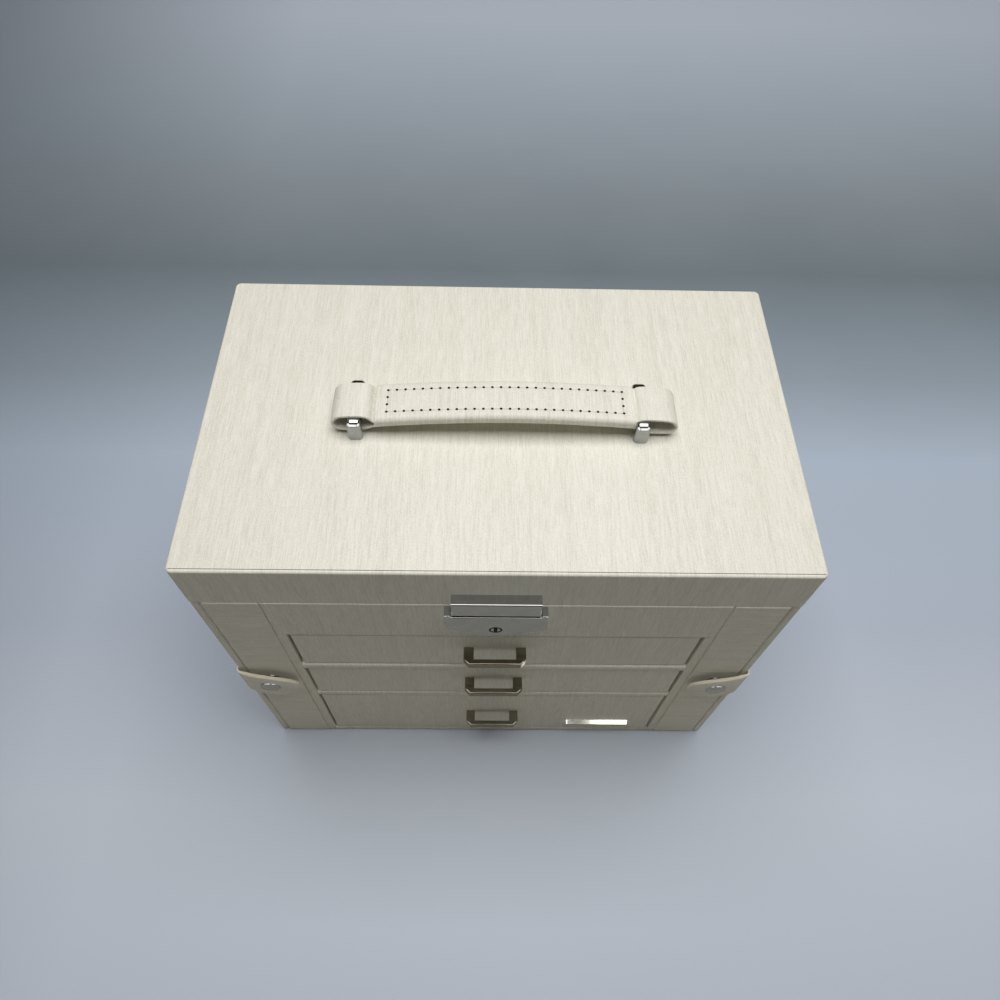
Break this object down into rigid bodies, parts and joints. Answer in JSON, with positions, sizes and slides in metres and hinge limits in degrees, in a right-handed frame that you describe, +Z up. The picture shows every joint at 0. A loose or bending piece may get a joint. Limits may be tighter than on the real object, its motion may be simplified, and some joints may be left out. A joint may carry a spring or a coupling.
{
  "type": "jewellery box",
  "caption": "Upright jewellery box with a hinged lid, a strap handle, a front lock, stacked drawers and a thin side door over a necklace bay on each side.",
  "frame": {"origin": "on the floor, under the middle of the box", "axes": "+X to the box's right as one looks at its front, +Y from the front to the back, +Z up"},
  "size_m": [0.2522, 0.1683, 0.2201],
  "materials": {
    "leather": "ivory imitation leather with a fine straight grain, satin",
    "tray_board": "paper-backed imitation leather over board, matt",
    "velvet": "short-pile velvet",
    "felt": "felt",
    "chrome": "polished nickel plating",
    "hinge_metal": "plated sheet steel, satin",
    "mirror": "silvered glass",
    "thread": "grey sewing thread"
  },
  "bodies": {
    "case": {"base_felt": "felt", "base_board": "leather", "back_panel": "leather", "inner_wall_left": "leather", "inner_wall_right": "leather", "shelf_upper": "leather", "shelf_lower": "leather", "tray_floor": "tray_board", "front_rail": "leather", "side_front_left": "leather", "side_front_right": "leather", "side_tops": "leather", "tray_lining": "velvet", "ring_rolls": "velvet", "bay_lining_left": "velvet", "bay_lining_right": "velvet", "bay_pockets": "velvet", "necklace_hooks": "chrome", "snap_studs": "chrome", "hinge_screws": "hinge_metal", "case_hinge_leaves": "hinge_metal", "lock_case": "chrome"},
    "lid": {"lid_rim": "leather", "lid_panel": "leather", "lid_pad": "velvet", "lid_mirror": "mirror", "lock_hasp": "chrome", "handle_brackets": "chrome", "lid_hinges": "hinge_metal"},
    "handle": {"handle_strap": "leather", "handle_grip": "leather", "handle_stitching": "thread"},
    "lock_barrel_body": {"lock_barrel": "chrome"},
    "drawer_upper": {"drawer_front_upper": "leather", "drawer_tray_upper": "tray_board", "drawer_lining_upper": "velvet", "drawer_pull_upper": "chrome"},
    "drawer_middle": {"drawer_front_middle": "leather", "drawer_tray_middle": "tray_board", "drawer_lining_middle": "velvet", "drawer_pull_middle": "chrome"},
    "drawer_lower": {"drawer_front_lower": "leather", "drawer_tray_lower": "tray_board", "drawer_lining_lower": "velvet", "drawer_pull_lower": "chrome", "name_plate": "chrome"},
    "door_left": {"side_door_left": "leather", "door_lining_left": "velvet", "door_hinges_left": "hinge_metal", "flap_root_left": "leather"},
    "door_right": {"side_door_right": "leather", "door_lining_right": "velvet", "door_hinges_right": "hinge_metal", "flap_root_right": "leather"},
    "flap_left": {"snap_flap_left": "leather", "snap_cap_left": "chrome"},
    "flap_right": {"snap_flap_right": "leather", "snap_cap_right": "chrome"}
  },
  "joints": [
    {"name": "lid_hinge", "type": "hinge", "parent": "case", "child": "lid", "pos_m": [0, 0.0789, 0.18], "axis": [-1, 0, 0], "range_deg": [0, 100]},
    {"name": "handle_lift", "type": "slide", "parent": "lid", "child": "handle", "axis": [0, 0, 1], "range_m": [0, 0.0022]},
    {"name": "lock_turn", "type": "hinge", "parent": "case", "child": "lock_barrel_body", "pos_m": [-0.00075, -0.0772, 0.1655], "axis": [0, 1, 0], "range_deg": [0, 90]},
    {"name": "drawer_upper_slide", "type": "slide", "parent": "case", "child": "drawer_upper", "axis": [0, -1, 0], "range_m": [0, 0.1]},
    {"name": "drawer_middle_slide", "type": "slide", "parent": "case", "child": "drawer_middle", "axis": [0, -1, 0], "range_m": [0, 0.1]},
    {"name": "drawer_lower_slide", "type": "slide", "parent": "case", "child": "drawer_lower", "axis": [0, -1, 0], "range_m": [0, 0.1]},
    {"name": "door_left_hinge", "type": "hinge", "parent": "case", "child": "door_left", "pos_m": [-0.12065, 0.0789, 0.09], "axis": [0, 0, -1], "range_deg": [0, 135]},
    {"name": "door_right_hinge", "type": "hinge", "parent": "case", "child": "door_right", "pos_m": [0.12065, 0.0789, 0.09], "axis": [0, 0, 1], "range_deg": [0, 135]},
    {"name": "flap_left_bend", "type": "hinge", "parent": "door_left", "child": "flap_left", "pos_m": [-0.12525, -0.0766, 0.0915], "axis": [0, 0, -1], "range_deg": [0, 100]},
    {"name": "flap_right_bend", "type": "hinge", "parent": "door_right", "child": "flap_right", "pos_m": [0.12525, -0.0766, 0.0915], "axis": [0, 0, 1], "range_deg": [0, 100]}
  ]
}
